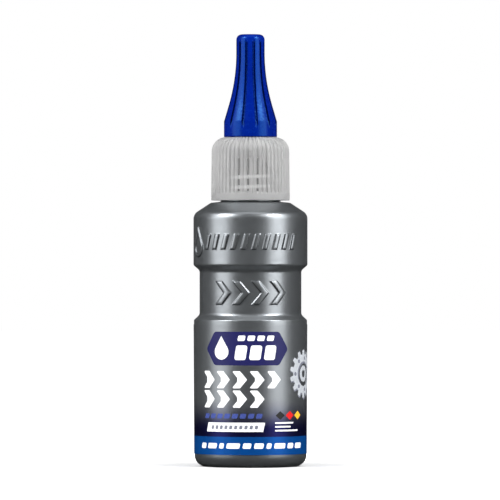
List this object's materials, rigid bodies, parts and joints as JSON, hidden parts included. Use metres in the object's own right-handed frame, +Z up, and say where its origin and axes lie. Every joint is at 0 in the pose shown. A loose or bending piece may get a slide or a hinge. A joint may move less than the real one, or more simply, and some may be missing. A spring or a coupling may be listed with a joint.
{
  "type": "chain lube bottle",
  "caption": "Slim squeeze bottle for chain oil with a grip waist, a ribbed translucent screw cap with a spout, and a fluted blue pull-off overcap.",
  "frame": {"origin": "middle of the bottle's standing plane, on the bottle's axis", "axes": "+Z up along the bottle's axis towards the spout; the label's front faces -Y; +X is to the right as seen from the front"},
  "size_m": [0.0362, 0.0366, 0.1371],
  "materials": {
    "bottle_plastic": "silver-grey pigmented polyethylene with a satin sheen",
    "label_film": "satin film label with printed fields",
    "washer_foam": "soft foamed polyethylene",
    "cap_plastic": "natural, milky translucent polyethylene",
    "overcap_plastic": "glossy royal blue"
  },
  "bodies": {
    "bottle_body": {"bottle": "bottle_plastic", "label": "label_film"},
    "washer_body": {"washer": "washer_foam"},
    "cap_body": {"spout_cap": "cap_plastic"},
    "overcap_body": {"overcap": "overcap_plastic"}
  },
  "joints": [
    {"name": "washer_lift", "type": "slide", "parent": "bottle_body", "child": "washer_body", "axis": [0, 0, 1], "range_m": [0, 0.0057]},
    {"name": "cap_turn", "type": "hinge", "parent": "washer_body", "child": "cap_body", "pos_m": [0, 0, 0.0844], "axis": [0, 0, 1], "range_deg": [0, 630]},
    {"name": "overcap_pull", "type": "slide", "parent": "cap_body", "child": "overcap_body", "axis": [0, 0, 1], "range_m": [0, 0.032]}
  ],
  "couplings": [
    {"joint": "washer_lift", "follows": "cap_turn", "m_per_rad": 0.00050532}
  ]
}
